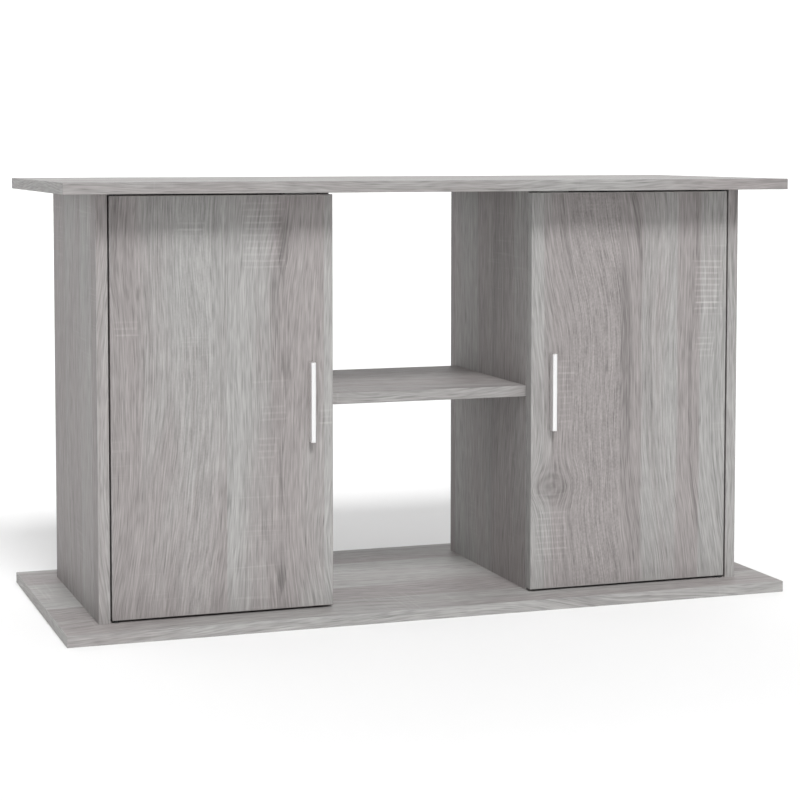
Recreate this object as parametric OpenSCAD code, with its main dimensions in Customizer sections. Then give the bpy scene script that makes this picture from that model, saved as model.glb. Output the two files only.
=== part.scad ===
// Low aquarium stand: two equal plates, a cupboard with an inset door at each end and an open
// bay with a shelf between them. Millimetres. +X is right, +Y is back, +Z is up, and the origin
// is the centre of the base plate's underside.

/* [Overall] */
// Width of the top and base plates
plate_w = 1010; // [840:1:1250]
// Depth of the top and base plates
plate_d = 410; // [340:1:500]
// Height of the stand, floor to top face
stand_h = 580; // [480:1:720]
// Thickness of the plates, panels, dividers and shelf
board_t = 15; // [12.5:0.5:18]
// How far the plates stand out past the body, all round
overhang = 50; // [30:1:70]

/* [Centre bay] */
// Clear width between the dividers
centre_bay_w = 283; // [230:1:340]
// Clear height under the shelf
lower_bay_h = 267.5; // [220:0.5:325]
// How far the shelf's front edge lies behind the dividers' front edges
shelf_front_set = 1.5; // [0:0.5:20]
// How far the shelf's back edge lies inside the body's back
shelf_back_set = 18; // [0:0.5:40]

/* [Doors] */
// Thickness of a door
door_t = 15; // [12.5:0.5:18]
// Gap between a door's hinge edge and the side panel
door_side_gap = 2.5; // [2.3:0.1:4]
// Gap above and below a door
door_end_gap = 3; // [2.5:0.1:4]
// Gap between a door's back and the divider's front edge
door_rest_gap = 2; // [1.6:0.1:3]
// Distance of the pivot from the door's hinge edge and from its front face
pivot_inset = 5; // [4:0.1:5.5]

/* [Handles] */
// Length of a handle
handle_l = 106; // [100:1:150]
// Width of a handle's front face
handle_w = 6; // [5:0.5:9]
// How far a handle stands out from the door
handle_d = 13; // [11:0.5:20]
// Distance from a door's free edge to its handle's centre line
handle_edge_gap = 30; // [20:1:60]
// Distance between the two screws of a handle
handle_pitch = 96; // [80:1:96]

/* [Backs and edges] */
// Thickness of the cupboards' back panels
back_t = 3; // [2.5:0.5:4]
// Width of the rabbet that a back panel lies in
rabbet_w = 8; // [6.5:0.5:9]
// Nails along each upright edge of a back panel
nail_count = 5; // [3:1:8]
// Thickness of the edge banding
band_t = 0.8; // [0.6:0.1:2]
// Width of the chamfer that eases the edge banding's arrises
arris = 0.5; // [0.1:0.1:0.5]

/* [Fixings] */
// Length of a dowel
dowel_l = 30; // [25:1:35]
// Radius of a dowel
dowel_r = 4; // [3:0.5:4]
// Distance of the outer fixings from a panel's front and back edges
bolt_inset = 40; // [30:1:45]
// Distance of the dowels from a panel's front and back edges
dowel_inset = 75; // [65:1:85]
// Distance from a panel's top edge to the cam locks' centres
cam_reach = 34; // [24:1:40]
// Radius of a cam lock
cam_r = 7.5; // [6:0.5:9]
// Length of the confirmat screws
screw_l = 50; // [40:1:60]

/* [Hidden] */

$fn = 48;
fit = 0.05;        // radial clearance of a pin, dowel or screw in its hole
end_play = 0.5;    // spare depth at the end of a blind hole
cut = 1;           // how far a cutting shape runs past the face that it opens

oak = "#a9a49f";
oak_edge = "#b1ada8";
steel = "#c4c6c8";
zinc = "#9fa3a6";
black = "#2a2a2b";
beech = "#c9a878";

// Body, without the plates
body_w = plate_w - 2 * overhang;
body_d = plate_d - 2 * overhang;
body_h = stand_h - 2 * board_t;
z_lo = board_t;
z_hi = stand_h - board_t;
y_front = -body_d / 2;
y_back = body_d / 2;

// Upright boards of the right half; the left half mirrors them
x_side_in = body_w / 2 - board_t;
x_side_mid = x_side_in + board_t / 2;
x_div_in = centre_bay_w / 2;
x_div_out = x_div_in + board_t;
x_div_mid = x_div_in + board_t / 2;
y_div_front = y_front + door_t + door_rest_gap;

// Shelf
shelf_z = z_lo + lower_bay_h;
y_shelf_front = y_div_front + shelf_front_set;
y_shelf_back = y_back - shelf_back_set;
shelf_bolt_inset = 40;
shelf_dowel_inset = 80;

// Right door
x_door_out = x_side_in - door_side_gap;
x_door_in = x_div_in;
door_w = x_door_out - x_door_in;
door_z = z_lo + door_end_gap;
door_h = body_h - 2 * door_end_gap;
y_door_back = y_front + door_t;
x_pivot = x_door_out - pivot_inset;
y_pivot = y_front + pivot_inset;

// Pivots: a pin with a collar in each end of the door, in a flanged bush in each plate
pin_r = 2;
pin_in_door = 20;
pin_in_bush = 8;
collar_r = 3.5;
bush_r = 4;
bush_depth = 9;
flange_r = 5;
flange_t = 1.5;
collar_play = 0.3;
collar_t = door_end_gap - flange_t - collar_play;

// Handles
x_handle = x_door_in + handle_edge_gap;
z_handle = door_z + door_h / 2;
handle_chamfer = 0.6;
handle_screw_r = 1.5;
handle_screw_head_r = 3.5;
handle_screw_head_t = 2;
screw_in_handle = handle_d - 3;

// Back panels
back_play = 0.5;
nail_r = 0.7;
nail_l = 16;
nail_head_r = 1.5;
nail_head_t = 0.5;
nail_end_inset = 35;
x_nails = [x_div_out - rabbet_w / 2, x_side_in + rabbet_w / 2];

// Dowels, cam locks and confirmat screws
plate_skin = 5;                     // board left behind a blind hole in a plate or divider
dowel_in_plate = board_t - plate_skin;
cam_skin = 3;                       // board left behind a cam lock
cam_t = board_t - cam_skin;
cam_channel_r = 3.7;
cam_slot_l = 9;
cam_slot_w = 1.6;
cam_slot_depth = 1.5;
bolt_bore_r = 4;
bolt_thread_r = 3;
bolt_collar_r = 3.6;
bolt_collar_t = 1.5;
bolt_neck_r = 2.2;
bolt_head_r = 3.2;
bolt_head_t = 5;
screw_head_r = 5;
screw_head_t = 3;
screw_sink = 0.5;                   // how far a head lies inside the face
screw_shank_r = 3.5;
screw_thread_r = 2.5;
hex_r = 2.3;
hex_depth = 2;
cap_r = 6.5;
cap_t = 1;

// Magnetic catches, door bumpers and strike plates
bumper_r = 4;
bumper_play = 0.3;                  // between a bumper and the closed door
bumper_t = door_rest_gap - bumper_play;
bumper_end_inset = 30;
catch_w = 26;
catch_ear_w = 44;
catch_d = 14;
catch_h = 12;
catch_ear_t = 3;
catch_div_gap = 2;
magnet_w = 20;
magnet_d = 9;
magnet_h = 5;
magnet_drop = 7;                    // distance from the top board down to the magnet's centre
strike_w = 42;
strike_h = 10;
strike_t = 1;
strike_top_inset = 1;
strike_play = 0.3;
small_screw_r = 1.5;
small_head_r = 2.8;
small_head_t = 1.6;
small_screw_l = 10;
x_catch = x_div_out + catch_div_gap + catch_ear_w / 2;
y_catch = y_door_back + strike_t + strike_play;
z_strike = door_z + door_h - strike_top_inset - strike_h;
z_magnet = z_hi - magnet_drop;

function bolt_ys(front) = [front + bolt_inset, y_back - bolt_inset];
function dowel_ys(front) = [front + dowel_inset, y_back - dowel_inset];
function shelf_ys(inset) = [y_shelf_front + inset, y_shelf_back - inset];
function nail_zs() = [for (i = [0 : nail_count - 1])
    z_lo + nail_end_inset + i * (body_h - 2 * nail_end_inset) / (nail_count - 1)];

// ---- Placing ----

module both_sides() {
    children();
    mirror([1, 0, 0]) children();
}

module at_bolts(x, front) for (y = bolt_ys(front)) translate([x, y, 0]) children();

module at_dowels(x, front) for (y = dowel_ys(front)) translate([x, y, 0]) children();

module at_all_bolts() both_sides() {
    at_bolts(x_side_mid, y_front) children();
    at_bolts(x_div_mid, y_div_front) children();
}

module at_all_dowels() both_sides() {
    at_dowels(x_side_mid, y_front) children();
    at_dowels(x_div_mid, y_div_front) children();
}

// A shelf fixing's own frame: +Z runs from the divider's cupboard face towards the shelf
module at_shelf_fixings(inset) both_sides()
    for (y = shelf_ys(inset))
        translate([x_div_out, y, shelf_z + board_t / 2]) rotate([0, -90, 0]) children();

// ---- Dowels and their holes ----

// Upright dowel that reaches length below down from a joint at z_joint
module upright_dowel(z_joint, below, grow, play)
    translate([0, 0, z_joint - below - play]) cylinder(r = dowel_r + grow, h = dowel_l + 2 * play);

module dowel_pair(grow, play) {
    upright_dowel(z_lo, dowel_in_plate, grow, play);
    upright_dowel(z_hi, dowel_l - dowel_in_plate, grow, play);
}

module shelf_dowel(grow, play)
    translate([0, 0, board_t - dowel_in_plate - play])
        cylinder(r = dowel_r + grow, h = dowel_l + 2 * play);

// ---- Cam locks and bolts ----

// Cam lock lying along +Z from a panel's face at z = 0 into the panel; its channel opens to +Y
module cam_lock() difference() {
    cylinder(r = cam_r - fit, h = cam_t);
    translate([0, -bolt_head_t / 2 - end_play, board_t / 2])
        rotate([-90, 0, 0]) cylinder(r = cam_channel_r, h = cam_r + bolt_head_t);
    for (size = [[cam_slot_l, cam_slot_w], [cam_slot_w, cam_slot_l]])
        translate([0, 0, -cut]) linear_extrude(cut + cam_slot_depth) square(size, center = true);
}

module cam_bolt() translate([0, 0, z_hi]) {
    cylinder(r = bolt_thread_r, h = dowel_in_plate);
    translate([0, 0, -bolt_collar_t]) cylinder(r = bolt_collar_r, h = bolt_collar_t);
    translate([0, 0, -cam_reach]) cylinder(r = bolt_neck_r, h = cam_reach);
    translate([0, 0, -cam_reach - bolt_head_t / 2]) cylinder(r = bolt_head_r, h = bolt_head_t);
}

module cam_bolt_bores() {
    translate([0, 0, z_hi - cut])
        cylinder(r = bolt_thread_r + fit, h = cut + dowel_in_plate + end_play);
    translate([0, 0, z_hi - cam_reach]) cylinder(r = bolt_bore_r, h = cam_reach);
}

// Frame of a cam lock at a panel's face: face_x is that face, and inward is the way into the board
module at_cams(face_x, inward, front)
    for (y = bolt_ys(front)) translate([face_x, y, z_hi - cam_reach])
        multmatrix([[0, 0, inward, 0], [inward, 0, 0, 0], [0, 1, 0, 0], [0, 0, 0, 1]]) children();

// ---- Confirmat screws: +Z runs from the face that the head lies in ----

module confirmat_screw() difference() {
    translate([0, 0, screw_sink]) {
        cylinder(r = screw_head_r, h = screw_head_t);
        cylinder(r = screw_shank_r, h = board_t - screw_sink);
        cylinder(r = screw_thread_r, h = screw_l);
    }
    translate([0, 0, screw_sink - cut]) cylinder(r = hex_r, h = cut + hex_depth, $fn = 6);
}

module confirmat_bore() {
    translate([0, 0, -cut]) cylinder(r = screw_head_r + fit, h = cut + screw_sink + screw_head_t);
    cylinder(r = screw_shank_r + fit, h = board_t);
    cylinder(r = screw_thread_r + fit, h = screw_l + screw_sink + end_play);
}

// ---- Boards ----

module slab(size, at) translate(at) cube(size);

module eased_rectangle(w, h, ease) polygon([
    [ease, 0], [w - ease, 0], [w, ease], [w, h - ease],
    [w - ease, h], [ease, h], [0, h - ease], [0, ease]
]);

// Box with a chamfer on each of its twelve edges
module eased_box(size, at, ease) translate(at) intersection() {
    linear_extrude(size.z) eased_rectangle(size.x, size.y, ease);
    translate([0, size.y, 0]) rotate([90, 0, 0])
        linear_extrude(size.y) eased_rectangle(size.x, size.z, ease);
    rotate([90, 0, 90]) linear_extrude(size.x) eased_rectangle(size.y, size.z, ease);
}

// Section of a straight edge band: its outer face at x = 0, its length of board along y
module band_section() polygon([
    [band_t, 0], [arris, 0], [0, arris], [0, board_t - arris], [arris, board_t], [band_t, board_t]
]);

module plate_core(z, spare) slab(
    [plate_w - 2 * band_t, plate_d - 2 * band_t, board_t + 2 * spare],
    [-plate_w / 2 + band_t, -plate_d / 2 + band_t, z - spare]
);

// Edge band round a plate whose lower face is at z
module plate_band(z) difference() {
    eased_box([plate_w, plate_d, board_t], [-plate_w / 2, -plate_d / 2, z], arris);
    plate_core(z, cut);
}

module top_board() color(oak) difference() {
    plate_core(z_hi, 0);
    at_all_bolts() cam_bolt_bores();
    at_all_dowels() upright_dowel(z_hi, dowel_l - dowel_in_plate, fit, end_play);
    both_sides() at_pivot() translate([0, 0, z_hi]) bush_hole();
    both_sides() at_catch_screws() small_screw_hole();
}

module base_board() color(oak) difference() {
    plate_core(0, 0);
    at_all_bolts() confirmat_bore();
    at_all_dowels() upright_dowel(z_lo, dowel_in_plate, fit, end_play);
    both_sides() at_pivot() translate([0, 0, z_lo]) mirror([0, 0, 1]) bush_hole();
}

module top_edge_band() color(oak_edge) plate_band(z_hi);

module base_edge_band() color(oak_edge) plate_band(0);

// Core of an upright board from x to x + board_t, and the bands on its front and back edges
module upright_core(x, front)
    slab([board_t, y_back - front - 2 * band_t, body_h], [x, front + band_t, z_lo]);

module upright_band() linear_extrude(body_h) mirror([1, -1, 0]) band_section();

module upright_bands(x, front) {
    translate([x, front, z_lo]) upright_band();
    translate([x, y_back, z_lo]) mirror([0, 1, 0]) upright_band();
}

// Rabbet that both cupboard-side back corners share with the back panel
module back_rabbet() slab(
    [x_side_in - x_div_out + 2 * rabbet_w, back_t + cut, body_h + 2 * cut],
    [x_div_out - rabbet_w, y_back - back_t, z_lo - cut]
);

module upright_bores(x, front) {
    at_bolts(x, front) {
        cam_bolt_bores();
        confirmat_bore();
    }
    at_dowels(x, front) dowel_pair(fit, end_play);
}

module side_panel() color(oak) difference() {
    upright_core(x_side_in, y_front);
    back_rabbet();
    upright_bores(x_side_mid, y_front);
    at_cams(x_side_in, 1, y_front) translate([0, 0, -cut]) cylinder(r = cam_r, h = cut + cam_t);
    at_nails(x_nails[1]) nail_hole();
}

module left_side_panel() mirror([1, 0, 0]) side_panel();

module right_side_panel() side_panel();

module side_panel_edge_bands() color(oak_edge) both_sides() difference() {
    upright_bands(x_side_in, y_front);
    back_rabbet();
}

module divider() color(oak) difference() {
    upright_core(x_div_in, y_div_front);
    back_rabbet();
    upright_bores(x_div_mid, y_div_front);
    at_cams(x_div_out, -1, y_div_front)
        translate([0, 0, -cut]) cylinder(r = cam_r, h = cut + cam_t);
    at_nails(x_nails[0]) nail_hole();
    at_shelf_fixings(shelf_bolt_inset) confirmat_bore();
    at_shelf_fixings(shelf_dowel_inset) shelf_dowel(fit, end_play);
}

module left_divider() mirror([1, 0, 0]) divider();

module right_divider() divider();

module divider_edge_bands() color(oak_edge) both_sides() difference() {
    upright_bands(x_div_in, y_div_front);
    back_rabbet();
}

module centre_shelf() color(oak) difference() {
    slab([centre_bay_w, y_shelf_back - y_shelf_front - 2 * band_t, board_t],
         [-x_div_in, y_shelf_front + band_t, shelf_z]);
    at_shelf_fixings(shelf_bolt_inset) confirmat_bore();
    at_shelf_fixings(shelf_dowel_inset) shelf_dowel(fit, end_play);
}

module shelf_band() rotate([90, 0, 90]) linear_extrude(centre_bay_w) band_section();

module shelf_edge_bands() color(oak_edge) {
    translate([-x_div_in, y_shelf_front, shelf_z]) shelf_band();
    translate([-x_div_in, y_shelf_back, shelf_z]) mirror([0, 1, 0]) shelf_band();
}

// ---- Back panels and nails ----

module at_nails(x) for (z = nail_zs()) translate([x, y_back, z]) rotate([90, 0, 0]) children();

module nail() {
    translate([0, 0, -nail_head_t]) cylinder(r = nail_head_r, h = nail_head_t);
    cylinder(r = nail_r, h = nail_l);
}

module nail_hole() translate([0, 0, -cut]) cylinder(r = nail_r + fit, h = cut + nail_l + end_play);

module back_panel() color(oak) difference() {
    slab(
        [x_side_in - x_div_out + 2 * (rabbet_w - back_play), back_t, body_h - 2 * back_play],
        [x_div_out - rabbet_w + back_play, y_back - back_t, z_lo + back_play]
    );
    for (x = x_nails) at_nails(x) nail_hole();
}

module left_back_panel() mirror([1, 0, 0]) back_panel();

module right_back_panel() back_panel();

module back_panel_nails() color(steel) both_sides() for (x = x_nails) at_nails(x) nail();

// ---- Fixings ----

module carcass_dowels() color(beech) at_all_dowels() dowel_pair(0, 0);

module shelf_dowels() color(beech) at_shelf_fixings(shelf_dowel_inset) shelf_dowel(0, 0);

module cam_locks() color(zinc) both_sides() {
    at_cams(x_side_in, 1, y_front) cam_lock();
    at_cams(x_div_out, -1, y_div_front) cam_lock();
}

module cam_bolts() color(steel) at_all_bolts() cam_bolt();

module base_screws() color(steel) at_all_bolts() confirmat_screw();

module shelf_screws() color(steel) at_shelf_fixings(shelf_bolt_inset) confirmat_screw();

module shelf_screw_caps() color(oak)
    at_shelf_fixings(shelf_bolt_inset) mirror([0, 0, 1]) cylinder(r = cap_r, h = cap_t);

// ---- Pivots ----

module at_pivot() translate([x_pivot, y_pivot, 0]) children();

// Bush with its flange on the plate's face at z = 0 and its body below it
module pivot_bush() difference() {
    union() {
        cylinder(r = flange_r, h = flange_t);
        translate([0, 0, -bush_depth]) cylinder(r = bush_r, h = bush_depth);
    }
    translate([0, 0, -bush_depth - cut])
        cylinder(r = pin_r + fit, h = bush_depth + flange_t + 2 * cut);
}

// Blind hole for a bush, up from a plate's face at z = 0
module bush_hole() translate([0, 0, -cut])
    cylinder(r = bush_r + fit, h = cut + bush_depth + end_play);

module pivot_bushes() color(black) both_sides() at_pivot() {
    translate([0, 0, z_lo]) pivot_bush();
    translate([0, 0, z_hi]) mirror([0, 0, 1]) pivot_bush();
}

// Pin with its collar on the door's end at z = 0, the plate above it
module pivot_pin() {
    translate([0, 0, -pin_in_door])
        cylinder(r = pin_r, h = pin_in_door + door_end_gap + pin_in_bush);
    cylinder(r = collar_r, h = collar_t);
}

module pivot_pins() color(black) at_pivot() {
    translate([0, 0, door_z + door_h]) pivot_pin();
    translate([0, 0, door_z]) mirror([0, 0, 1]) pivot_pin();
}

module left_pivot_pins() mirror([1, 0, 0]) pivot_pins();

module right_pivot_pins() pivot_pins();

module pin_holes() at_pivot() for (z = [door_z - cut, door_z + door_h - pin_in_door - end_play])
    translate([0, 0, z]) cylinder(r = pin_r + fit, h = pin_in_door + end_play + cut);

// ---- Doors ----

module door_core(spare) slab(
    [door_w - 2 * band_t, door_t + 2 * spare, door_h - 2 * band_t],
    [x_door_in + band_t, y_front - spare, door_z + band_t]
);

module door() color(oak) difference() {
    door_core(0);
    pin_holes();
    at_handle_screws() handle_screw_hole();
    at_strike_screws() small_screw_hole();
}

module door_edge_band() color(oak_edge) difference() {
    eased_box([door_w, door_t, door_h], [x_door_in, y_front, door_z], arris);
    door_core(cut);
    pin_holes();
}

module left_door() mirror([1, 0, 0]) door();

module left_door_edge_band() mirror([1, 0, 0]) door_edge_band();

module right_door() door();

module right_door_edge_band() door_edge_band();

// ---- Handles: a handle screw's +Z runs from the door's back face to the handle ----

module at_handle_screws() for (z = [-1, 1] * handle_pitch / 2)
    translate([x_handle, y_door_back, z_handle + z]) rotate([90, 0, 0]) children();

module handle_screw_hole()
    translate([0, 0, -cut])
        cylinder(r = handle_screw_r + fit, h = cut + door_t + screw_in_handle + end_play);

module handle_screw() {
    translate([0, 0, -handle_screw_head_t])
        cylinder(r = handle_screw_head_r, h = handle_screw_head_t);
    cylinder(r = handle_screw_r, h = door_t + screw_in_handle);
}

module handle() color("gainsboro") difference() {
    eased_box(
        [handle_w, handle_d, handle_l],
        [x_handle - handle_w / 2, y_front - handle_d, z_handle - handle_l / 2],
        handle_chamfer
    );
    at_handle_screws() handle_screw_hole();
}

module left_handle() mirror([1, 0, 0]) handle();

module right_handle() handle();

module left_handle_screws() color(steel) mirror([1, 0, 0]) at_handle_screws() handle_screw();

module right_handle_screws() color(steel) at_handle_screws() handle_screw();

// ---- Catches ----

module small_screw() {
    translate([0, 0, -small_head_t]) cylinder(r = small_head_r, h = small_head_t);
    cylinder(r = small_screw_r, h = small_screw_l);
}

module small_screw_hole()
    translate([0, 0, -cut]) cylinder(r = small_screw_r + fit, h = cut + small_screw_l + end_play);

// A catch screw's +Z runs up from the underside of the catch's ear
module at_catch_screws() for (x = [-1, 1] * (catch_w + catch_ear_w) / 4)
    translate([x_catch + x, y_catch + catch_d / 2, z_hi - catch_ear_t]) children();

module magnet_pocket(grow) slab(
    [magnet_w + 2 * grow, magnet_d + grow + (grow > 0 ? cut : 0), magnet_h + 2 * grow],
    [x_catch - magnet_w / 2 - grow, y_catch - (grow > 0 ? cut : 0), z_magnet - magnet_h / 2 - grow]
);

module catch_housings() color("whitesmoke") both_sides() difference() {
    union() {
        slab([catch_w, catch_d, catch_h], [x_catch - catch_w / 2, y_catch, z_hi - catch_h]);
        slab([catch_ear_w, catch_d, catch_ear_t],
             [x_catch - catch_ear_w / 2, y_catch, z_hi - catch_ear_t]);
    }
    magnet_pocket(fit);
    at_catch_screws() small_screw_hole();
}

module catch_magnets() color("dimgray") both_sides() magnet_pocket(0);

module catch_screws() color(steel) both_sides() at_catch_screws() small_screw();

// A strike screw's +Z runs from the strike plate's back face into the door, beside the catch
module at_strike_screws() for (x = [-1, 1] * (catch_w + catch_ear_w) / 4)
    translate([x_catch + x, y_door_back + strike_t, z_strike + strike_h / 2])
        rotate([90, 0, 0]) children();

module strike_plate() color(steel) difference() {
    slab([strike_w, strike_t, strike_h], [x_catch - strike_w / 2, y_door_back, z_strike]);
    at_strike_screws() small_screw_hole();
}

module left_strike_plate() mirror([1, 0, 0]) strike_plate();

module right_strike_plate() strike_plate();

module left_strike_screws() color(steel) mirror([1, 0, 0]) at_strike_screws() small_screw();

module right_strike_screws() color(steel) at_strike_screws() small_screw();

// Bumper pads on the dividers' front edges, just short of the closed doors
module door_bumpers() color("white") both_sides()
    for (z = [door_z + bumper_end_inset, door_z + door_h - bumper_end_inset])
        translate([x_div_mid, y_div_front, z]) rotate([90, 0, 0])
            cylinder(r = bumper_r, h = bumper_t);

top_board();
top_edge_band();
base_board();
base_edge_band();
left_side_panel();
right_side_panel();
side_panel_edge_bands();
left_divider();
right_divider();
divider_edge_bands();
centre_shelf();
shelf_edge_bands();
left_back_panel();
right_back_panel();
back_panel_nails();
carcass_dowels();
shelf_dowels();
cam_locks();
cam_bolts();
base_screws();
shelf_screws();
shelf_screw_caps();
pivot_bushes();
door_bumpers();
catch_housings();
catch_magnets();
catch_screws();
left_door();
left_door_edge_band();
left_handle();
left_handle_screws();
left_pivot_pins();
left_strike_plate();
left_strike_screws();
right_door();
right_door_edge_band();
right_handle();
right_handle_screws();
right_pivot_pins();
right_strike_plate();
right_strike_screws();
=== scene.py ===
"""Looks of the aquarium stand cabinet: boards in grey oak foil, silver bar handles, small hardware."""

import math
from collections import namedtuple

import bpy
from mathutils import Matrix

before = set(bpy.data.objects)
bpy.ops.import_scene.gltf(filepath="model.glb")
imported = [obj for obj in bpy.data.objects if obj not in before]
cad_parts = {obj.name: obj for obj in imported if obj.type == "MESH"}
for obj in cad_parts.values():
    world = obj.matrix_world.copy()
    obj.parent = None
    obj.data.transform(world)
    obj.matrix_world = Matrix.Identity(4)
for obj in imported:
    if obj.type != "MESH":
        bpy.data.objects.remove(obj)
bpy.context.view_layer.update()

# ---- Grey oak ----

# Linear colours of the foil
PALE_OAK = (0.346, 0.341, 0.334)
MAUVE_OAK = (0.318, 0.296, 0.292)

Feature = namedtuple("Feature", "across along detail roughness offset")

# Features of the grain: cycles per metre across and along it, the detail and roughness of their noise, and
# an offset that keeps one feature from lining up with another
SWAY = Feature(2.6, 1.5, 1.0, 0.5, 0.0)
CURL = Feature(8.0, 3.2, 1.0, 0.5, 0.0)
SHIVER = Feature(50.0, 24.0, 2.0, 0.5, 0.0)
CLOUD = Feature(8.0, 1.8, 4.0, 0.55, 7.7)
STREAK = Feature(190.0, 3.5, 3.0, 0.6, 0.0)
THREAD = Feature(480.0, 7.0, 1.0, 0.6, 6.6)
FIBRE = Feature(560.0, 34.0, 1.0, 0.7, 0.0)
DASH = Feature(600.0, 38.0, 0.0, 0.5, 3.1)
GROWTH_LINE = Feature(75.0, 1.7, 2.0, 0.5, 11.3)
GROWTH_PATCH = Feature(9.0, 2.0, 1.0, 0.5, 4.4)
STIPPLE = Feature(430.0, 330.0, 2.0, 0.5, 2.2)
SAW_LINE = Feature(9.0, 260.0, 1.0, 0.4, 1.9)
SAW_PATCH = Feature(8.0, 5.0, 2.0, 0.5, 5.3)
SAW_WOBBLE = Feature(12.0, 4.0, 2.0, 0.5, 0.0)
PATCH_RAGGED = Feature(90.0, 150.0, 2.0, 0.5, 0.0)
FLAME_RAGGED = Feature(60.0, 40.0, 3.0, 0.6, 0.0)
KNOT_WOBBLE = Feature(60.0, 40.0, 2.0, 0.5, 0.0)

# How far a feature bends the grain, or the edge of a figure, to both sides together, in metres
SWAY_REACH = 0.14
CURL_REACH = 0.042
SHIVER_REACH = 0.0013
PATCH_REACH = 0.03
FLAME_REACH = 0.008

# The noise at which a feature starts to show, and at which it shows in full
DASH_STEP = (0.56, 0.74)
GROWTH_LINE_STEP = (0.53, 0.66)
GROWTH_PATCH_STEP = (0.46, 0.62)
SAW_LINE_STEP = (0.56, 0.74)
SAW_PATCH_STEP = (0.54, 0.68)

# Saw marks in rows
SAW_PITCH = 0.0083          # from one mark to the next, in metres
SAW_ROW_REACH = 3.0         # how far the marks stray from straight: a full turn, tau, is one pitch
SAW_ROW_STEP = (0.10, 0.95)     # of the sine that makes the marks
SAW_ROW_FAINT = 0.5         # share of a mark that is left where no saw line runs
SAW_ROW_FULL = 0.6          # how much of a saw line makes it whole

# What each feature adds to the hue, which goes from pale to mauve between the two ends of HUE_STEP
HUE_STEP = (0.34, 0.64)
HUE_PLANK = 0.26
HUE_STREAK = 0.22
HUE_TONE = 0.30

# What each feature adds to the lightness, which multiplies the colour
LIGHT_START = 1.02
LIGHT_STREAK = -0.22
LIGHT_THREAD = -0.58
LIGHT_FIBRE = -0.72
LIGHT_PLANK = -0.10
LIGHT_TONE = -0.06
LIGHT_DASH = -0.15
LIGHT_GROWTH = -0.12
LIGHT_MARK = 0.10
LIGHT_ROW = 0.19
LIGHT_STIPPLE = -1.1
LIGHT_DARK = -0.26

FOIL_GLOSS = 0.10           # specular level: the foil is matt
FOIL_ROUGHNESS = (0.46, 0.16)       # at no fibre, and what fibre adds
FIBRE_HEIGHT = 0.5
DASH_HEIGHT = -0.6
FOIL_BUMP = 0.00025         # depth of the embossed grain, in metres
FOIL_BUMP_STRENGTH = 0.6
PLANK_JITTER = 0.04         # share of the sway that the planks' own edges follow
PLANK_SHIFT = 2.7           # most that a plank's grain is moved along, in metres

# A knot: the distances are in shares of its own half size
KNOT_REACH = 0.49           # how far its rings stray from an oval, to both sides together
KNOT_FALL = -0.8            # how fast its pull on the grain fades outwards
KNOT_PULL = 0.8
KNOT_RINGS = 13.0           # radians of ring in one half size
KNOT_EDGE = (1.7, 0.1)      # where the heart starts to darken, and where it is darkest
KNOT_DARKNESS = (0.4, 0.7)  # of the heart, and what a ring adds

PATCH_EDGE = 0.008          # how softly a patch of marks ends, in metres
FLAME_EDGE = 0.0024         # how softly the sides of a wedge end, in metres
FLAME_TOP = (1.0, 0.6)      # shares of the height where a wedge has faded out, and where it is full
FLAME_DARKNESS = 0.75       # as a share of a knot's


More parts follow.
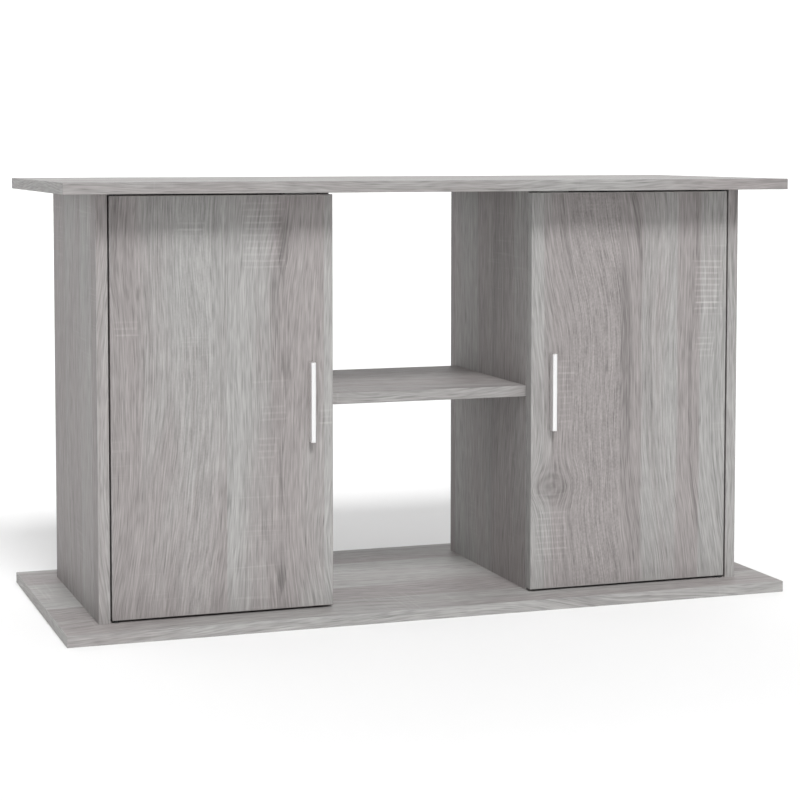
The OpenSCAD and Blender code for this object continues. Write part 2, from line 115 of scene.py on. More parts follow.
class Graph:
    """A node tree with short calls that add a node and link or set its inputs."""

    def __init__(self, tree):
        self.tree = tree

    def add(self, kind, inputs=(), **settings):
        node = self.tree.nodes.new(kind)
        for key, value in settings.items():
            setattr(node, key, value)
        for key, value in dict(inputs).items():
            self.feed(node.inputs[key], value)
        return node

    def feed(self, socket, value):
        if isinstance(value, bpy.types.NodeSocket):
            self.tree.links.new(value, socket)
        else:
            socket.default_value = value

    def math(self, operation, a, b=0.0, c=0.0):
        return self.add("ShaderNodeMath", {0: a, 1: b, 2: c}, operation=operation).outputs[0]

    def noise(self, place, feature):
        """A feature's noise, from 0 to 1, at a place (across, through, along)."""
        stretch = (feature.across, feature.across, feature.along)
        stretched = self.add(
            "ShaderNodeVectorMath", {0: place, 1: stretch, 2: (feature.offset,) * 3},
            operation="MULTIPLY_ADD").outputs[0]
        return self.add(
            "ShaderNodeTexNoise",
            {"Vector": stretched, "Scale": 1.0, "Detail": feature.detail, "Roughness": feature.roughness},
        ).outputs[0]

    def centred(self, place, feature, reach):
        """A feature's noise spread over reach, half of it to each side of 0."""
        return self.math("MULTIPLY", self.math("SUBTRACT", self.noise(place, feature), 0.5), reach)

    def total(self, start, rows):
        """start, and for each row (value, middle, amount) how far value is past middle, times amount."""
        for value, middle, amount in rows:
            start = self.math("MULTIPLY_ADD", self.math("SUBTRACT", value, middle), amount, start)
        return start

    def vector(self, operation, a, b=(0.0, 0.0, 0.0)):
        return self.add("ShaderNodeVectorMath", {0: a, 1: b}, operation=operation).outputs[0]

    def step(self, value, low, high, to_low=0.0, to_high=1.0):
        """Smooth step of value between low and high."""
        return self.add(
            "ShaderNodeMapRange",
            {"Value": value, "From Min": low, "From Max": high, "To Min": to_low, "To Max": to_high},
            interpolation_type="SMOOTHSTEP").outputs[0]

    def mix(self, share, a, b, blend="MIX"):
        """Mix of two colours."""
        node = self.add("ShaderNodeMix", data_type="RGBA", blend_type=blend)
        for socket, value in ((node.inputs[0], share), (node.inputs[6], a), (node.inputs[7], b)):
            if isinstance(value, tuple):
                value = (*value, 1.0)
            self.feed(socket, value)
        return node.outputs[2]

    def shade(self, color, light):
        """A colour times a lightness."""
        return self.mix(1.0, color, self.join(light, light, light), "MULTIPLY")

    def pick(self, share, a, b):
        """Mix of two vectors."""
        node = self.add("ShaderNodeMix", data_type="VECTOR")
        for socket, value in ((node.inputs[0], share), (node.inputs[4], a), (node.inputs[5], b)):
            self.feed(socket, value)
        return node.outputs[1]

    def group(self, tree, inputs):
        """Outputs of a node group fed with those inputs."""
        node = self.add("ShaderNodeGroup", node_tree=tree)
        for key, value in inputs.items():
            self.feed(node.inputs[key], value)
        return node.outputs

    def split(self, vector):
        return self.add("ShaderNodeSeparateXYZ", {0: vector}).outputs

    def join(self, x, y, z):
        return self.add("ShaderNodeCombineXYZ", {0: x, 1: y, 2: z}).outputs[0]


def new_group(name, inputs, outputs):
    """A node group with those sockets: (its graph, its input sockets, the node that its outputs go to)."""
    tree = bpy.data.node_groups.new(name, "ShaderNodeTree")
    for label, kind in inputs:
        tree.interface.new_socket(label, in_out="INPUT", socket_type=kind)
    for label, kind in outputs:
        tree.interface.new_socket(label, in_out="OUTPUT", socket_type=kind)
    graph = Graph(tree)
    source = graph.add("NodeGroupInput").outputs
    sink = graph.add("NodeGroupOutput")
    return graph, source, sink


def make_knot_group():
    """Bends the grain round a knot. A place is (across, through, along) in metres."""
    g, source, sink = new_group(
        "oak_knot",
        [("Place", "NodeSocketVector"), ("Knot", "NodeSocketVector"), ("Half", "NodeSocketVector")],
        [("Place", "NodeSocketVector"), ("Heart", "NodeSocketFloat")])
    u, w, v = g.split(source["Place"])
    knot_u, _, knot_v = g.split(source["Knot"])
    half_u, _, half_v = g.split(source["Half"])
    off_u = g.math("SUBTRACT", u, knot_u)
    off_v = g.math("SUBTRACT", v, knot_v)
    share_u = g.math("DIVIDE", off_u, half_u)
    share_v = g.math("DIVIDE", off_v, half_v)
    squares = g.math("ADD", g.math("MULTIPLY", share_u, share_u), g.math("MULTIPLY", share_v, share_v))
    wobble = g.centred(source["Place"], KNOT_WOBBLE, KNOT_REACH)
    radius = g.math("ADD", g.math("SQRT", squares), wobble)
    near = g.math("EXPONENT", g.math("MULTIPLY", g.math("MULTIPLY", radius, radius), KNOT_FALL))
    pull = g.math("MULTIPLY", g.math("MULTIPLY", off_u, near), KNOT_PULL)
    bent = g.join(g.math("SUBTRACT", u, pull), w, v)
    wave = g.math("SINE", g.math("MULTIPLY", radius, KNOT_RINGS))
    ring = g.math("MULTIPLY_ADD", wave, 0.5, 0.5)
    heart_darkness, ring_darkness = KNOT_DARKNESS
    darkness = g.math("MULTIPLY_ADD", ring, ring_darkness, heart_darkness)
    g.feed(sink.inputs["Place"], bent)
    g.feed(sink.inputs["Heart"], g.math("MULTIPLY", g.step(radius, *KNOT_EDGE), darkness))
    return g.tree


def make_patch_group():
    """1 inside a box of half size (across, -, along) round a centre, softly down to 0 outside it."""
    g, source, sink = new_group(
        "oak_patch",
        [("Place", "NodeSocketVector"), ("Centre", "NodeSocketVector"), ("Half", "NodeSocketVector")],
        [("Share", "NodeSocketFloat")])
    off = g.vector("SUBTRACT", source["Place"], source["Centre"])
    over_u, _, over_v = g.split(g.vector("SUBTRACT", g.vector("ABSOLUTE", off), source["Half"]))
    over_u = g.math("ADD", over_u, g.centred(source["Place"], PATCH_RAGGED, PATCH_REACH))
    worst = g.math("MAXIMUM", over_u, over_v)
    g.feed(sink.inputs["Share"], g.step(worst, PATCH_EDGE / 2, -PATCH_EDGE / 2))
    return g.tree


def make_flame_group():
    """1 inside a wedge that points down along the grain to a tip, softly down to 0 outside it. Half is
    (half its width at the top, -, its height)."""
    g, source, sink = new_group(
        "oak_flame",
        [("Place", "NodeSocketVector"), ("Tip", "NodeSocketVector"), ("Half", "NodeSocketVector")],
        [("Share", "NodeSocketFloat")])
    off_u, _, off_v = g.split(g.vector("SUBTRACT", source["Place"], source["Tip"]))
    half_width, _, height = g.split(source["Half"])
    rise = g.math("DIVIDE", off_v, height)
    off_u = g.math("ABSOLUTE", g.math("ADD", off_u, g.centred(source["Place"], FLAME_RAGGED, FLAME_REACH)))
    edge = g.math("MULTIPLY", half_width, g.math("MAXIMUM", rise, 0.0))
    inside = g.step(g.math("SUBTRACT", off_u, edge), FLAME_EDGE / 2, -FLAME_EDGE / 2)
    g.feed(sink.inputs["Share"], g.math("MULTIPLY", inside, g.step(rise, *FLAME_TOP)))
    return g.tree


def make_oak_group():
    """Colour, roughness and height of the foil at a place (across, through, along), in metres."""
    g, source, sink = new_group(
        "oak_foil",
        [("Place", "NodeSocketVector"), ("Dark", "NodeSocketFloat"), ("Saw", "NodeSocketFloat"),
         ("Stipple", "NodeSocketFloat"), ("Tone", "NodeSocketFloat"), ("Lines", "NodeSocketFloat"),
         ("Planks", "NodeSocketFloat"), ("Mauve", "NodeSocketFloat"), ("Value", "NodeSocketFloat")],
        [("Color", "NodeSocketColor"), ("Roughness", "NodeSocketFloat"), ("Height", "NodeSocketFloat")])
    place = source["Place"]

    # Planks: each has its own tone, and its own stretch of grain
    u, w, v = g.split(place)
    sway = g.centred(place, SWAY, SWAY_REACH)
    shiver = g.centred(place, SHIVER, SHIVER_REACH)
    edge_u = g.math("ADD", u, g.math("MULTIPLY_ADD", sway, PLANK_JITTER, shiver))
    plank = g.add(
        "ShaderNodeTexVoronoi", {"W": g.math("MULTIPLY", edge_u, source["Planks"]), "Scale": 1.0},
        voronoi_dimensions="1D").outputs["Color"]
    plank_tone, plank_shift, _ = g.split(plank)

    # The grain's flow
    bend = g.math("ADD", sway, g.math("ADD", g.centred(place, CURL, CURL_REACH), shiver))
    flow = g.join(g.math("ADD", u, bend), w, g.math("MULTIPLY_ADD", plank_shift, PLANK_SHIFT, v))

    streak = g.noise(flow, STREAK)
    thread = g.noise(flow, THREAD)
    fibre = g.noise(flow, FIBRE)
    dash = g.step(g.noise(flow, DASH), *DASH_STEP)
    cloud = g.noise(flow, CLOUD)
    growth_patch = g.step(g.noise(flow, GROWTH_PATCH), *GROWTH_PATCH_STEP)
    growth_line = g.step(g.noise(flow, GROWTH_LINE), *GROWTH_LINE_STEP)
    growth = g.math("MULTIPLY", growth_line, g.math("ADD", growth_patch, source["Lines"]))
    stipple = g.math("MULTIPLY", source["Stipple"], g.math("SUBTRACT", g.noise(place, STIPPLE), 0.5))

    # Saw marks: pale lines across the grain, in faint random patches and in the rows asked for
    line = g.step(g.noise(place, SAW_LINE), *SAW_LINE_STEP)
    mark = g.math("MULTIPLY", line, g.step(g.noise(place, SAW_PATCH), *SAW_PATCH_STEP))
    stray = g.math("MULTIPLY", g.noise(place, SAW_WOBBLE), SAW_ROW_REACH)
    turn = g.math("ADD", g.math("MULTIPLY", v, math.tau / SAW_PITCH), stray)
    row = g.step(g.math("SINE", turn), *SAW_ROW_STEP)
    strength = g.step(line, 0.0, SAW_ROW_FULL, SAW_ROW_FAINT, 1.0)
    row = g.math("MULTIPLY", row, g.math("MULTIPLY", source["Saw"], strength))

    # Hue
    hue = g.total(cloud, [
        (plank_tone, 0.5, HUE_PLANK),
        (streak, 0.5, HUE_STREAK),
        (source["Tone"], 0.0, HUE_TONE),
    ])
    hue = g.step(g.math("ADD", hue, source["Mauve"]), *HUE_STEP)
    color = g.mix(hue, PALE_OAK, MAUVE_OAK)

    # Lightness
    light = g.total(LIGHT_START, [
        (streak, 0.5, LIGHT_STREAK),
        (thread, 0.5, LIGHT_THREAD),
        (fibre, 0.5, LIGHT_FIBRE),
        (plank_tone, 0.5, LIGHT_PLANK),
        (source["Tone"], 0.0, LIGHT_TONE),
        (dash, 0.0, LIGHT_DASH),
        (growth, 0.0, LIGHT_GROWTH),
        (mark, 0.0, LIGHT_MARK),
        (row, 0.0, LIGHT_ROW),
        (stipple, 0.0, LIGHT_STIPPLE),
        (source["Dark"], 0.0, LIGHT_DARK),
    ])
    # Value scales the lightness of the whole board: where a board's value is below 1, this paints the shade
    # it stands in
    light = g.math("MULTIPLY", light, source["Value"])

    at_no_fibre, with_fibre = FOIL_ROUGHNESS
    height = g.math("ADD", g.math("MULTIPLY", fibre, FIBRE_HEIGHT), g.math("MULTIPLY", dash, DASH_HEIGHT))
    g.feed(sink.inputs["Color"], g.shade(color, light))
    g.feed(sink.inputs["Roughness"], g.math("MULTIPLY_ADD", fibre, with_fibre, at_no_fibre))
    g.feed(sink.inputs["Height"], height)
    return g.tree


PATCH_GROUP = make_patch_group()
FLAME_GROUP = make_flame_group()
KNOT_GROUP = make_knot_group()
OAK_GROUP = make_oak_group()

# Figures that each door has: (kind, across, along, half width, half length), in metres. A wedge's place is
# its tip, and its half length is its height. Two rows of saw marks in one place make stronger marks
LEFT_DOOR_MARKS = [
    ("Flame", -0.209, 0.440, 0.016, 0.110),
    ("Flame", -0.205, 0.290, 0.010, 0.080),
    ("Flame", -0.213, 0.030, 0.012, 0.060),
    ("Saw", -0.236, 0.510, 0.026, 0.044),
    ("Saw", -0.331, 0.520, 0.016, 0.010),
    ("Saw", -0.418, 0.391, 0.014, 0.011),
    ("Saw", -0.228, 0.3165, 0.022, 0.004),
    ("Saw", -0.222, 0.2755, 0.014, 0.012),
    ("Saw", -0.232, 0.232, 0.012, 0.016),
    ("Saw", -0.150, 0.270, 0.008, 0.014),
]
RIGHT_DOOR_MARKS = [
    ("Knot", 0.172, 0.160, 0.030, 0.024),
    ("Saw", 0.166, 0.148, 0.020, 0.007),
    ("Saw", 0.172, 0.092, 0.022, 0.034),
    ("Saw", 0.409, 0.430, 0.020, 0.041),
    ("Saw", 0.409, 0.430, 0.016, 0.036),
    ("Saw", 0.405, 0.347, 0.012, 0.017),
    ("Saw", 0.192, 0.290, 0.010, 0.050),
]

# Strips of veneer side by side on each door: (start in metres, tone from -1 pale to 1 mauve, stipple, lines)
LEFT_DOOR_STRIPS = [
    (-0.4375, 0.5, 0.0, 0.6),
    (-0.400, -0.1, 0.1, 0.0),
    (-0.350, -0.4, 0.2, 0.0),
    (-0.300, -0.3, 0.0, 0.2),
    (-0.255, 0.1, 0.0, 0.6),
    (-0.222, 0.6, 0.0, 0.6),
    (-0.195, 0.0, 0.0, 0.2),
]
RIGHT_DOOR_STRIPS = [
    (0.1415, 0.0, 0.0, 0.2),
    (0.173, 0.5, 0.2, 0.4),
    (0.203, 0.4, 0.45, 0.0),
    (0.2745, 0.3, 0.0, 1.0),
    (0.3075, -0.4, 0.1, 0.1),
    (0.3628, 0.7, 0.0, 0.8),
    (0.397, -0.4, 0.0, 0.2),
]

# How softly each door's strips fade into each other, in metres
LEFT_DOOR_FADE = 0.024
RIGHT_DOOR_FADE = 0.003

# Which of a piece's own axes run across the board, through it and along its grain
ACROSS_Y_ALONG_X = ("Y", "Z", "X")
ACROSS_X_ALONG_Z = ("X", "Y", "Z")
ACROSS_Y_ALONG_Z = ("Y", "X", "Z")
ACROSS_Z_ALONG_X = ("Z", "Y", "X")
ACROSS_Z_ALONG_Y = ("Z", "X", "Y")

# shift moves the figure in metres, so that no two boards look alike. planks is how many there are in a
# metre, mauve is added to the hue, and value multiplies the lightness. On the left side panel, dividers,
# shelf and base a value below 1 is painted shade: these boards have the same foil as the rest and are
# darkened for the shade they stand in, most of all the left side panel, which faces away from the key
Board = namedtuple("Board", "node material axes shift planks mauve value")

BOARDS = [
    Board("top_board", "oak_top", ACROSS_Y_ALONG_X, (3.1, 0.4, 1.7), 9.0, 0.0, 1.0),
    Board("base_board", "oak_base", ACROSS_Y_ALONG_X, (5.3, 1.4, 4.2), 12.0, 0.04, 0.94),
    Board("left_side_panel", "oak_left_side", ACROSS_Y_ALONG_Z, (7.7, 2.1, 2.9), 12.0, 0.06, 0.86),
    Board("right_side_panel", "oak_right_side", ACROSS_Y_ALONG_Z, (9.2, 3.3, 6.6), 12.0, -0.02, 1.0),
    Board("left_divider", "oak_left_divider", ACROSS_Y_ALONG_Z, (1.9, 4.2, 8.1), 12.0, 0.05, 0.91),
    Board("right_divider", "oak_right_divider", ACROSS_Y_ALONG_Z, (4.6, 5.7, 0.8), 12.0, 0.05, 0.91),
    Board("centre_shelf", "oak_shelf", ACROSS_Y_ALONG_X, (6.4, 6.3, 3.5), 12.0, 0.02, 0.93),
    Board("left_back_panel", "oak_left_back", ACROSS_X_ALONG_Z, (8.8, 7.1, 5.4), 12.0, 0.0, 1.0),
    Board("right_back_panel", "oak_right_back", ACROSS_X_ALONG_Z, (2.4, 8.9, 7.3), 12.0, 0.0, 1.0),
]
LEFT_DOOR = Board("left_door", "oak_left_door", ACROSS_X_ALONG_Z, (11.3, 9.4, 1.2), 5.0, 0.04, 0.95)
RIGHT_DOOR = Board("right_door", "oak_right_door", ACROSS_X_ALONG_Z, (13.8, 10.2, 4.4), 3.0, 0.03, 0.94)

# Edge banding: the axes of its long stretches and of its short ones, and the axis that the short ones face
Run = namedtuple("Run", "long_axes end_axes end_normal")
PLATE_RUN = Run(ACROSS_Z_ALONG_X, ACROSS_Z_ALONG_Y, "X")
UPRIGHT_RUN = Run(ACROSS_X_ALONG_Z, ACROSS_Y_ALONG_Z, "X")
DOOR_RUN = Run(ACROSS_Y_ALONG_Z, ACROSS_Y_ALONG_X, "Z")

Band = namedtuple("Band", "node material run shift value")

# value multiplies the lightness. The bands have the same foil as the boards, and a value below 1 is painted
# shade, strongest on the top, base and shelf bands
BANDS = [
    Band("top_edge_band", "oak_top_band", PLATE_RUN, (2.2, 3.0, 4.0), 0.89),
    Band("base_edge_band", "oak_base_band", PLATE_RUN, (5.5, 1.0, 2.0), 0.92),
    Band("side_panel_edge_bands", "oak_side_bands", UPRIGHT_RUN, (6.6, 2.0, 3.0), 0.98),
    Band("divider_edge_bands", "oak_divider_bands", UPRIGHT_RUN, (7.9, 4.0, 1.0), 0.98),
    Band("shelf_edge_bands", "oak_shelf_bands", PLATE_RUN, (8.3, 5.0, 6.0), 0.88),
    Band("left_door_edge_band", "oak_left_door_band", DOOR_RUN, (9.7, 6.0, 5.0), 0.98),
    Band("right_door_edge_band", "oak_right_door_band", DOOR_RUN, (10.9, 7.0, 8.0), 0.98),
]
RAMP_MIDDLE = 0.5           # where a strip ramp stands for the middle of the object, in metres
BAND_PLANKS = 6.0
FACING = 0.6                # how far a face must turn to an axis to count as facing it


def new_material(name):
    """An empty material: (it, its graph, its surface shader)."""
    material = bpy.data.materials.new(name)
    material.use_nodes = True
    graph = Graph(material.node_tree)
    return material, graph, material.node_tree.nodes["Principled BSDF"]


def add_bump(graph, shader, height, depth, strength=1.0):
    """Bump of that depth, in metres."""
    bump = graph.add("ShaderNodeBump", {"Height": height, "Distance": depth, "Strength": strength})
    graph.feed(shader.inputs["Normal"], bump.outputs[0])


def add_strips(graph, across, strips, fade):
    """Tone, stipple and lines of the strips of veneer, by how far across the board. Each fades to the next
    over fade metres. The ramp's colours hold 0 to 1, so tone is packed into that."""
    ramp = graph.add("ShaderNodeValToRGB")
    graph.feed(ramp.inputs[0], graph.math("ADD", across, RAMP_MIDDLE))
    stops = []
    for start, tone, stipple, lines in strips:
        color = (tone * 0.5 + 0.5, stipple, lines, 1.0)
        if stops:
            stops.append((start - fade / 2, stops[-1][1]))
            start += fade / 2
        stops.append((start, color))
    elements = ramp.color_ramp.elements
    for index, (start, color) in enumerate(stops):
        if index < 2:
            elements[index].position = start + RAMP_MIDDLE
            elements[index].color = color
        else:
            elements.new(start + RAMP_MIDDLE).color = color
    tone, stipple, lines = graph.split(ramp.outputs[0])
    return {"Tone": graph.math("MULTIPLY_ADD", tone, 2.0, -1.0), "Stipple": stipple, "Lines": lines}


def oak_surface(graph, shader, place, planks, mauve, value, marks=(), strips=None):
    """The foil on shader, at that place. marks are the figures of this board alone, and strips is what
    add_strips gives."""
    shares = {"Dark": 0.0, "Saw": 0.0, **(strips or {})}
    knots = []
    for kind, across, along, half_width, half_length in marks:
        centre = (across, 0.0, along)
        half = (half_width, 0.0, half_length)
        if kind == "Flame":
            flame = graph.group(FLAME_GROUP, {"Place": place, "Tip": centre, "Half": half})
            shares["Dark"] = graph.math("MULTIPLY_ADD", flame["Share"], FLAME_DARKNESS, shares["Dark"])
        elif kind == "Saw":
            patch = graph.group(PATCH_GROUP, {"Place": place, "Centre": centre, "Half": half})
            shares["Saw"] = graph.math("ADD", patch["Share"], shares["Saw"])
        else:
            knots.append((centre, half))
    for centre, half in knots:
        knot = graph.group(KNOT_GROUP, {"Place": place, "Knot": centre, "Half": half})
        place = knot["Place"]
        shares["Dark"] = graph.math("ADD", knot["Heart"], shares["Dark"])
    fed = {"Place": place, "Planks": planks, "Mauve": mauve, "Value": value, **shares}
    foil = graph.group(OAK_GROUP, fed)
    graph.feed(shader.inputs["Base Color"], foil["Color"])
    graph.feed(shader.inputs["Roughness"], foil["Roughness"])
    shader.inputs["Specular IOR Level"].default_value = FOIL_GLOSS
    add_bump(graph, shader, foil["Height"], FOIL_BUMP, FOIL_BUMP_STRENGTH)


def axes_of(graph, axes):
    """The piece's own coordinates in the order of axes, such as ("Y", "Z", "X")."""
    own = graph.split(graph.add("ShaderNodeTexCoord").outputs["Object"])
    return graph.join(*(own[axis] for axis in axes))


def oak_board(board, marks=(), strips=(), fade=0.0):
    """Foil on a board. Its marks and strips stay in place when shift moves the rest of the figure."""
    material, graph, shader = new_material(board.material)
    place = axes_of(graph, board.axes)
    shares = None
    if strips:
        shares = add_strips(graph, graph.split(place)[0], strips, fade)
    place = graph.vector("ADD", place, board.shift)
    shift_u, _, shift_v = board.shift
    moved = [(kind, u + shift_u, v + shift_v, half_u, half_v) for kind, u, v, half_u, half_v in marks]
    oak_surface(graph, shader, place, board.planks, board.mauve, board.value, moved, shares)
    return material


def oak_band(band):
    """Edge banding round a board: its grain turns the corner with it."""
    material, graph, shader = new_material(band.material)
    facing = graph.split(graph.add("ShaderNodeTexCoord").outputs["Normal"])[band.run.end_normal]
    on_end = graph.math("GREATER_THAN", graph.math("ABSOLUTE", facing), FACING)
    place = graph.pick(on_end, axes_of(graph, band.run.long_axes), axes_of(graph, band.run.end_axes))
    place = graph.vector("ADD", place, band.shift)
    oak_surface(graph, shader, place, BAND_PLANKS, 0.0, band.value)
    return material


# ---- Metals, plastics and bare wood ----

# Cycles per metre of a metal's hair, across and along its brushing
BRUSHED = (900.0, 12.0)
FINE_BRUSHED = (1200.0, 30.0)
CAST = (500.0, 500.0)
PLATED = (300.0, 300.0)

# Shades are (lightness at the least, what the broad noise adds, what the fine noise adds)
METAL_CLOUD = Feature(25.0, 6.0, 2.0, 0.5, 0.0)
METAL_SHADE = (0.92, 0.06, 0.10)
METAL_ROUGHENING = 0.14         # what the hair adds to the roughness
METAL_BUMP = 0.00003            # in metres
PLASTIC_MOTTLE = Feature(60.0, 60.0, 2.0, 0.5, 0.0)
PLASTIC_SHADE = (0.925, 0.10, 0.05)
PLASTIC_ROUGHENING = 0.15       # what the specks add to the roughness
PLASTIC_BUMP = 0.00002          # in metres
BEECH_FLECK = Feature(900.0, 120.0, 3.0, 0.6, 0.0)
BEECH = (0.62, 0.44, 0.27)
BEECH_DARK = (0.46, 0.30, 0.17)
BEECH_ROUGHNESS = 0.7
BEECH_BUMP = 0.00005            # in metres

Metal = namedtuple("Metal", "material color roughness axes hair nodes")

METALS = [
    Metal("satin_aluminium", (0.93, 0.93, 0.93), 0.22, ACROSS_X_ALONG_Z, BRUSHED,
          ["left_handle", "right_handle"]),
    Metal("zinc_plate", (0.66, 0.67, 0.69), 0.26, ACROSS_X_ALONG_Z, PLATED,
          ["cam_bolts", "base_screws", "shelf_screws", "back_panel_nails", "catch_screws",
           "left_handle_screws", "right_handle_screws", "left_strike_screws", "right_strike_screws"]),
    Metal("black_oxide", (0.06, 0.06, 0.065), 0.40, ACROSS_X_ALONG_Z, CAST,
          ["left_pivot_pins", "right_pivot_pins"]),
    Metal("die_cast_zinc", (0.52, 0.53, 0.54), 0.42, ACROSS_X_ALONG_Z, CAST, ["cam_locks"]),
    Metal("nickel_strike", (0.60, 0.60, 0.61), 0.30, ACROSS_Z_ALONG_X, FINE_BRUSHED,
          ["left_strike_plate", "right_strike_plate"]),
]

# Cycles per metre of a plastic's specks
MOULDED = 1400.0
SMOOTH = 300.0

Plastic = namedtuple("Plastic", "material color roughness grain nodes")

PLASTICS = [
    Plastic("black_nylon", (0.03, 0.03, 0.03), 0.45, MOULDED, ["pivot_bushes"]),
    Plastic("white_nylon", (0.80, 0.80, 0.78), 0.42, MOULDED, ["catch_housings"]),
    Plastic("grey_cap", (0.36, 0.35, 0.34), 0.5, MOULDED, ["shelf_screw_caps"]),
    Plastic("clear_bumper", (0.72, 0.72, 0.70), 0.3, SMOOTH, ["door_bumpers"]),
    Plastic("ferrite", (0.05, 0.05, 0.055), 0.55, MOULDED, ["catch_magnets"]),
]


def tinted(graph, shader, color, shade, broad, fine):
    """Sets the base colour to color, shaded by a broad noise and a fine one."""
    least, from_broad, from_fine = shade
    light = graph.total(least, [(broad, 0.0, from_broad), (fine, 0.0, from_fine)])
    graph.feed(shader.inputs["Base Color"], graph.shade(color, light))


def brushed_metal(metal):
    """Metal brushed along the last of its axes."""
    material, graph, shader = new_material(metal.material)
    place = axes_of(graph, metal.axes)
    hair = graph.noise(place, Feature(*metal.hair, 3.0, 0.6, 0.0))
    tinted(graph, shader, metal.color, METAL_SHADE, graph.noise(place, METAL_CLOUD), hair)
    roughness = graph.math("MULTIPLY_ADD", hair, METAL_ROUGHENING, metal.roughness)
    graph.feed(shader.inputs["Roughness"], roughness)
    shader.inputs["Metallic"].default_value = 1.0
    add_bump(graph, shader, hair, METAL_BUMP)
    return material


def plain_plastic(plastic):
    """Moulded plastic, rubber or ferrite with a fine grain and a faint mottle."""
    material, graph, shader = new_material(plastic.material)
    place = axes_of(graph, ACROSS_X_ALONG_Z)
    speck = graph.noise(place, Feature(plastic.grain, plastic.grain, 2.0, 0.5, 0.0))
    tinted(graph, shader, plastic.color, PLASTIC_SHADE, graph.noise(place, PLASTIC_MOTTLE), speck)
    roughness = graph.math("MULTIPLY_ADD", speck, PLASTIC_ROUGHENING, plastic.roughness)
    graph.feed(shader.inputs["Roughness"], roughness)
    add_bump(graph, shader, speck, PLASTIC_BUMP)
    return material


def bare_beech():
    material, graph, shader = new_material("bare_beech")
    fleck = graph.noise(axes_of(graph, ACROSS_X_ALONG_Z), BEECH_FLECK)
    graph.feed(shader.inputs["Base Color"], graph.mix(fleck, BEECH, BEECH_DARK))
    shader.inputs["Roughness"].default_value = BEECH_ROUGHNESS
    add_bump(graph, shader, fleck, BEECH_BUMP)
    return material


def paint(nodes, material):
    for name in nodes:
        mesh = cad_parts[name].data
        mesh.materials.clear()
        mesh.materials.append(material)


def paint_boards():
    for board in BOARDS:
        paint([board.node], oak_board(board))
    for band in BANDS:
        paint([band.node], oak_band(band))
    left = oak_board(LEFT_DOOR, LEFT_DOOR_MARKS, LEFT_DOOR_STRIPS, LEFT_DOOR_FADE)
    right = oak_board(RIGHT_DOOR, RIGHT_DOOR_MARKS, RIGHT_DOOR_STRIPS, RIGHT_DOOR_FADE)
    paint([LEFT_DOOR.node], left)
    paint([RIGHT_DOOR.node], right)


def paint_hardware():
    for metal in METALS:
        paint(metal.nodes, brushed_metal(metal))
    for plastic in PLASTICS:
        paint(plastic.nodes, plain_plastic(plastic))
    paint(["carcass_dowels", "shelf_dowels"], bare_beech())


# ---- Stage, lights and camera ----

FLOOR_HALF = 14.0
SWEEP_Y = 6.0               # where the floor starts to curve up into the backdrop
SWEEP_RADIUS = 3.0
SWEEP_STEPS = 24
BACKDROP_TOP = 12.0
BACKDROP_MOTTLE = Feature(0.7, 0.7, 2.0, 0.5, 0.0)
BACKDROP_DARKEST = (0.77, 0.77, 0.77)
BACKDROP_PALEST = (0.79, 0.79, 0.79)
BACKDROP_ROUGHNESS = 0.9
BACKDROP_GLOW = (0.12, 0.30)    # its own light, at the floor and from BACKDROP_GLOW_TOP up
BACKDROP_GLOW_TOP = 1.5
WHITE = (1.0, 1.0, 1.0, 1.0)


def make_backdrop():
    """A white floor that sweeps up behind the object."""
    profile = [(-FLOOR_HALF, 0.0), (SWEEP_Y, 0.0)]
    for i in range(1, SWEEP_STEPS + 1):
        turn = math.pi / 2 * i / SWEEP_STEPS
        profile.append((SWEEP_Y + SWEEP_RADIUS * math.sin(turn), SWEEP_RADIUS * (1 - math.cos(turn))))
    profile.append((SWEEP_Y + SWEEP_RADIUS, BACKDROP_TOP))
    points = [(side * FLOOR_HALF, y, z) for y, z in profile for side in (-1, 1)]
    faces = [(2 * i, 2 * i + 1, 2 * i + 3, 2 * i + 2) for i in range(len(profile) - 1)]
    mesh = bpy.data.meshes.new("backdrop")
    mesh.from_pydata(points, [], faces)
    for face in mesh.polygons:
        face.use_smooth = True
    backdrop = bpy.data.objects.new("backdrop", mesh)
    bpy.context.scene.collection.objects.link(backdrop)
    material, graph, shader = new_material("white_sweep")
    place = axes_of(graph, ACROSS_X_ALONG_Z)
    mottle = graph.noise(place, BACKDROP_MOTTLE)
    graph.feed(shader.inputs["Base Color"], graph.mix(mottle, BACKDROP_DARKEST, BACKDROP_PALEST))
    shader.inputs["Roughness"].default_value = BACKDROP_ROUGHNESS
    shader.inputs["Emission Color"].default_value = WHITE
    glow = graph.step(graph.split(place)[2], 0.0, BACKDROP_GLOW_TOP, *BACKDROP_GLOW)
    graph.feed(shader.inputs["Emission Strength"], glow)
    mesh.materials.append(material)


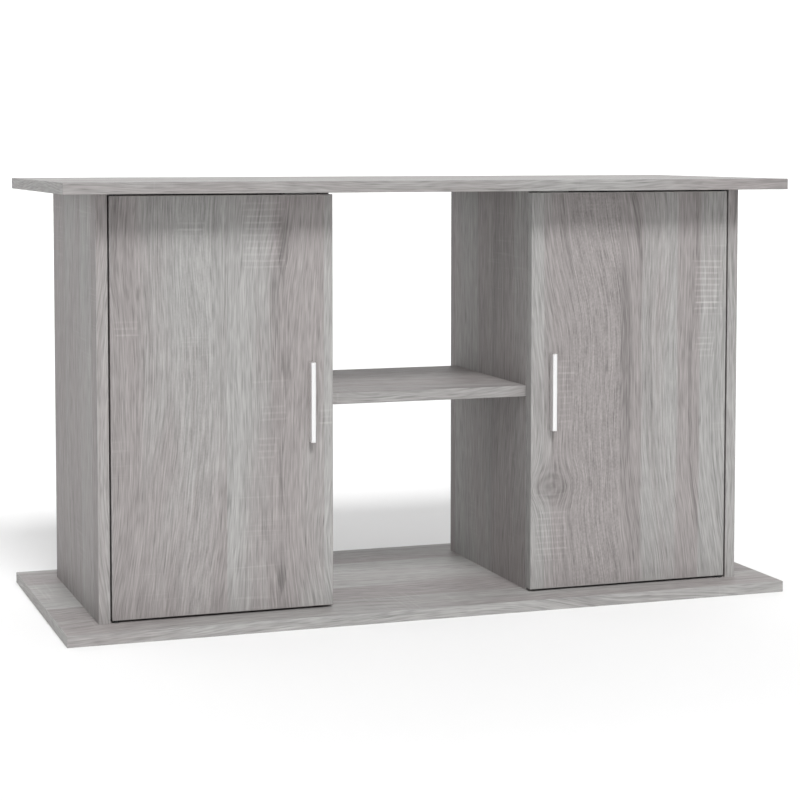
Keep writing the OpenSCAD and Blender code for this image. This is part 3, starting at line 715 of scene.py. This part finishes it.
WORLD_LIGHT = 0.52
HORIZON_LIGHT = 1.0
HORIZON_BAND = (0.05, 0.09)     # sines of the heights between which the horizon's light fades
KEY_LIGHT = 2.4                 # in watts per square metre
KEY_PLACE = (0.3, -3.0, 3.0)    # has no effect on a sun's light
KEY_HEIGHT = 49.0               # degrees above the horizon
KEY_SIDE = -2.0                 # degrees to the right of straight in front
KEY_SOFTNESS = 18.0             # degrees that the key light spans


def make_lights():
    """A white surround, brightest at the horizon, and one soft key light in front and above."""
    world = bpy.data.worlds.new("studio")
    world.use_nodes = True
    background = world.node_tree.nodes["Background"]
    background.inputs["Color"].default_value = WHITE
    graph = Graph(world.node_tree)
    height = graph.split(graph.add("ShaderNodeTexCoord").outputs["Generated"])[2]
    strength = graph.step(height, *HORIZON_BAND, HORIZON_LIGHT, WORLD_LIGHT)
    graph.feed(background.inputs["Strength"], strength)
    bpy.context.scene.world = world
    light = bpy.data.lights.new("key", "SUN")
    light.energy = KEY_LIGHT
    light.angle = math.radians(KEY_SOFTNESS)
    key = bpy.data.objects.new("key", light)
    key.location = KEY_PLACE
    key.rotation_euler = (math.radians(90 - KEY_HEIGHT), 0.0, math.radians(KEY_SIDE))
    bpy.context.scene.collection.objects.link(key)


CAMERA_PLACE = (-0.94589, -2.72015, 0.62272)
CAMERA_YAW = 18.927         # degrees to the right of the object's depth axis
CAMERA_PITCH = 3.691        # degrees below the horizon
CAMERA_LENS = 92.32
CAMERA_SHIFT = (0.01635, -0.15)


def make_camera():
    data = bpy.data.cameras.new("camera")
    data.lens = CAMERA_LENS
    data.shift_x, data.shift_y = CAMERA_SHIFT
    camera = bpy.data.objects.new("camera", data)
    camera.location = CAMERA_PLACE
    camera.rotation_euler = (math.radians(90 - CAMERA_PITCH), 0.0, math.radians(-CAMERA_YAW))
    bpy.context.scene.collection.objects.link(camera)
    bpy.context.scene.camera = camera


make_camera()
make_backdrop()
make_lights()
paint_boards()
paint_hardware()
bpy.context.scene.view_settings.view_transform = "Standard"
